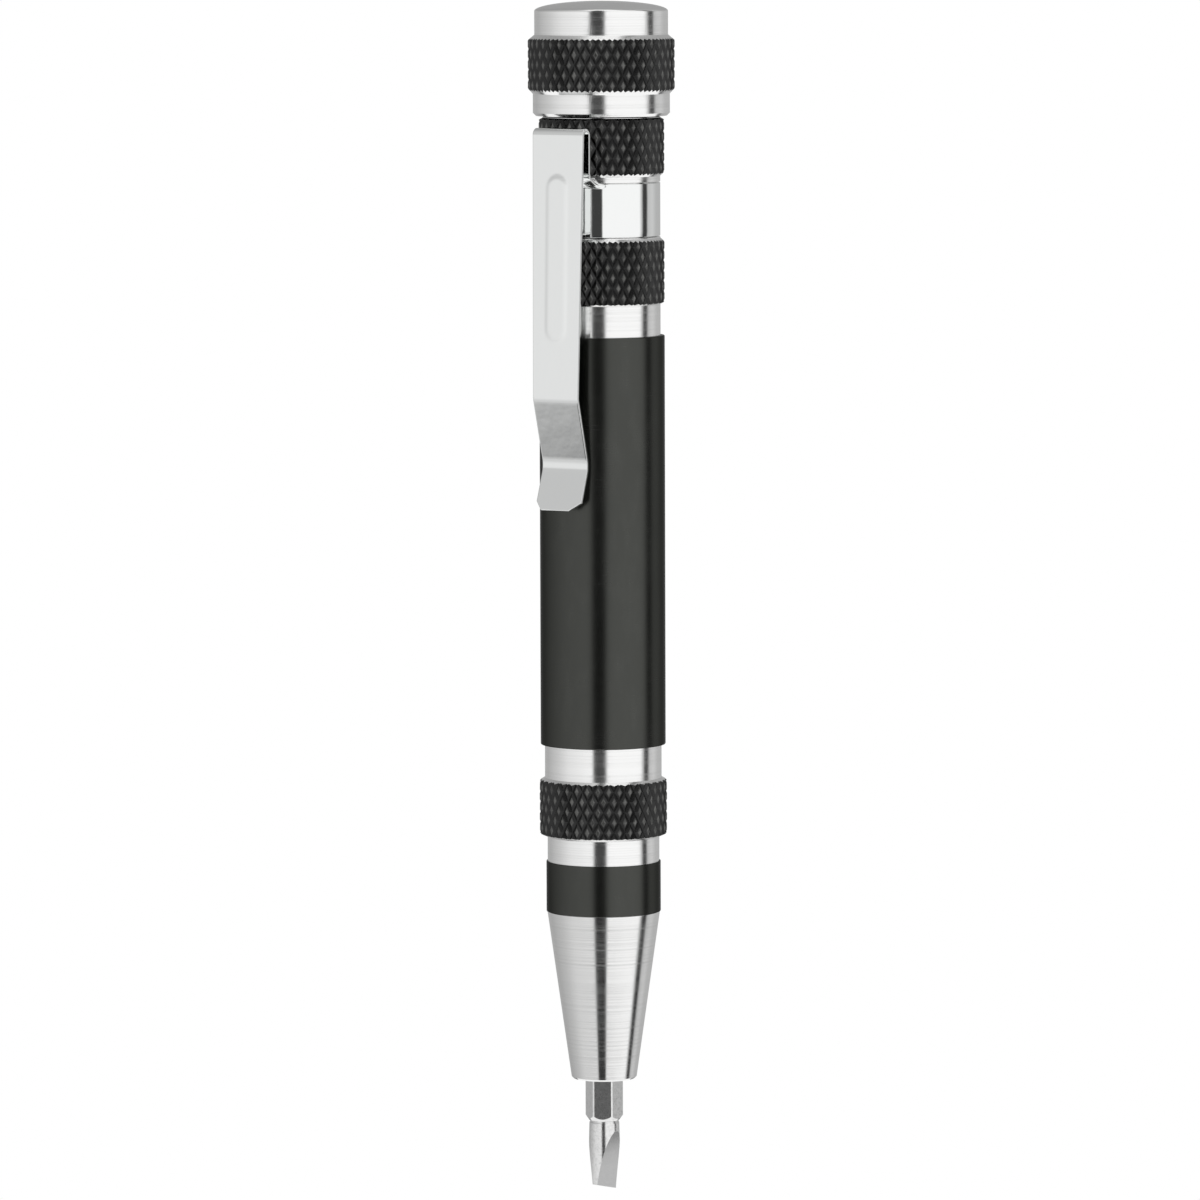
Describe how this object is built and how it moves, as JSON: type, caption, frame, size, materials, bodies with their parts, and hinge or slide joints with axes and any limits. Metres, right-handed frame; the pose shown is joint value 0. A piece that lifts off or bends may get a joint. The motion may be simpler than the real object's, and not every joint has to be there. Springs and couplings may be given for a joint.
{
  "type": "pocket screwdriver",
  "caption": "Pen-shaped pocket screwdriver: turned, knurled aluminium handle with spring clip, screw cap over trays of spare bits, magnetic hexagon socket and slotted bit.",
  "frame": {"origin": "middle of the fitted blade's end, on the tool axis", "axes": "+Z along the tool axis from the blade to the cap; the picture looks along +Y, and the clip stands at 236 degrees about +Z from +X"},
  "size_m": [0.0176, 0.0188, 0.1431],
  "materials": {
    "anodised_barrel": "satin black anodised, with bright turned bands",
    "turned_aluminium": "bright turned, with a black anodised knurl and band",
    "clip_steel": "plated spring steel",
    "bit_steel": "satin plated tool steel",
    "socket_steel": "turned steel",
    "magnet_plating": "nickel plated",
    "tray_plastic": "clear moulded plastic",
    "pad_rubber": "closed-cell foam rubber"
  },
  "bodies": {
    "handle": {"barrel": "anodised_barrel", "nose": "turned_aluminium", "bit_socket": "socket_steel", "socket_magnet": "magnet_plating"},
    "cap_pad": {"cap_pad": "pad_rubber"},
    "end_cap": {"end_cap": "turned_aluminium"},
    "upper_tray": {"upper_bit_tray": "tray_plastic", "slotted_bit_small": "bit_steel", "slotted_bit_medium": "bit_steel", "slotted_bit_large": "bit_steel"},
    "lower_tray": {"lower_bit_tray": "tray_plastic", "phillips_bit_000": "bit_steel", "phillips_bit_00": "bit_steel", "phillips_bit_0": "bit_steel", "phillips_bit_1": "bit_steel"},
    "driver_bit": {"driver_bit": "bit_steel"},
    "clip_ring": {"clip_ring": "clip_steel"},
    "clip_tongue": {"clip_tongue": "clip_steel"}
  },
  "joints": [
    {"name": "cap_lift", "type": "slide", "parent": "handle", "child": "cap_pad", "axis": [0, 0, 1], "range_m": [0, 0.11]},
    {"name": "cap_turn", "type": "hinge", "parent": "cap_pad", "child": "end_cap", "pos_m": [0, 0, 0.1363], "axis": [0, 0, 1], "continuous": true},
    {"name": "upper_tray_slide", "type": "slide", "parent": "handle", "child": "upper_tray", "axis": [0, 0, 1], "range_m": [0, 0.0881]},
    {"name": "lower_tray_slide", "type": "slide", "parent": "handle", "child": "lower_tray", "axis": [0, 0, 1], "range_m": [0, 0.0793]},
    {"name": "bit_pull", "type": "slide", "parent": "handle", "child": "driver_bit", "axis": [0, 0, -1], "range_m": [0, 0.02]},
    {"name": "clip_swivel", "type": "hinge", "parent": "handle", "child": "clip_ring", "pos_m": [0, 0, 0.1186], "axis": [0, 0, 1], "continuous": true},
    {"name": "clip_flex", "type": "hinge", "parent": "clip_ring", "child": "clip_tongue", "pos_m": [-0.00424, -0.00628, 0.12679], "axis": [-0.829, 0.5592, 0], "range_deg": [0, 4], "stiffness_Nm_per_rad": 1.2}
  ],
  "couplings": [
    {"joint": "upper_tray_slide", "follows": "cap_lift", "ratio": 0.8},
    {"joint": "lower_tray_slide", "follows": "cap_lift", "ratio": 0.72}
  ]
}
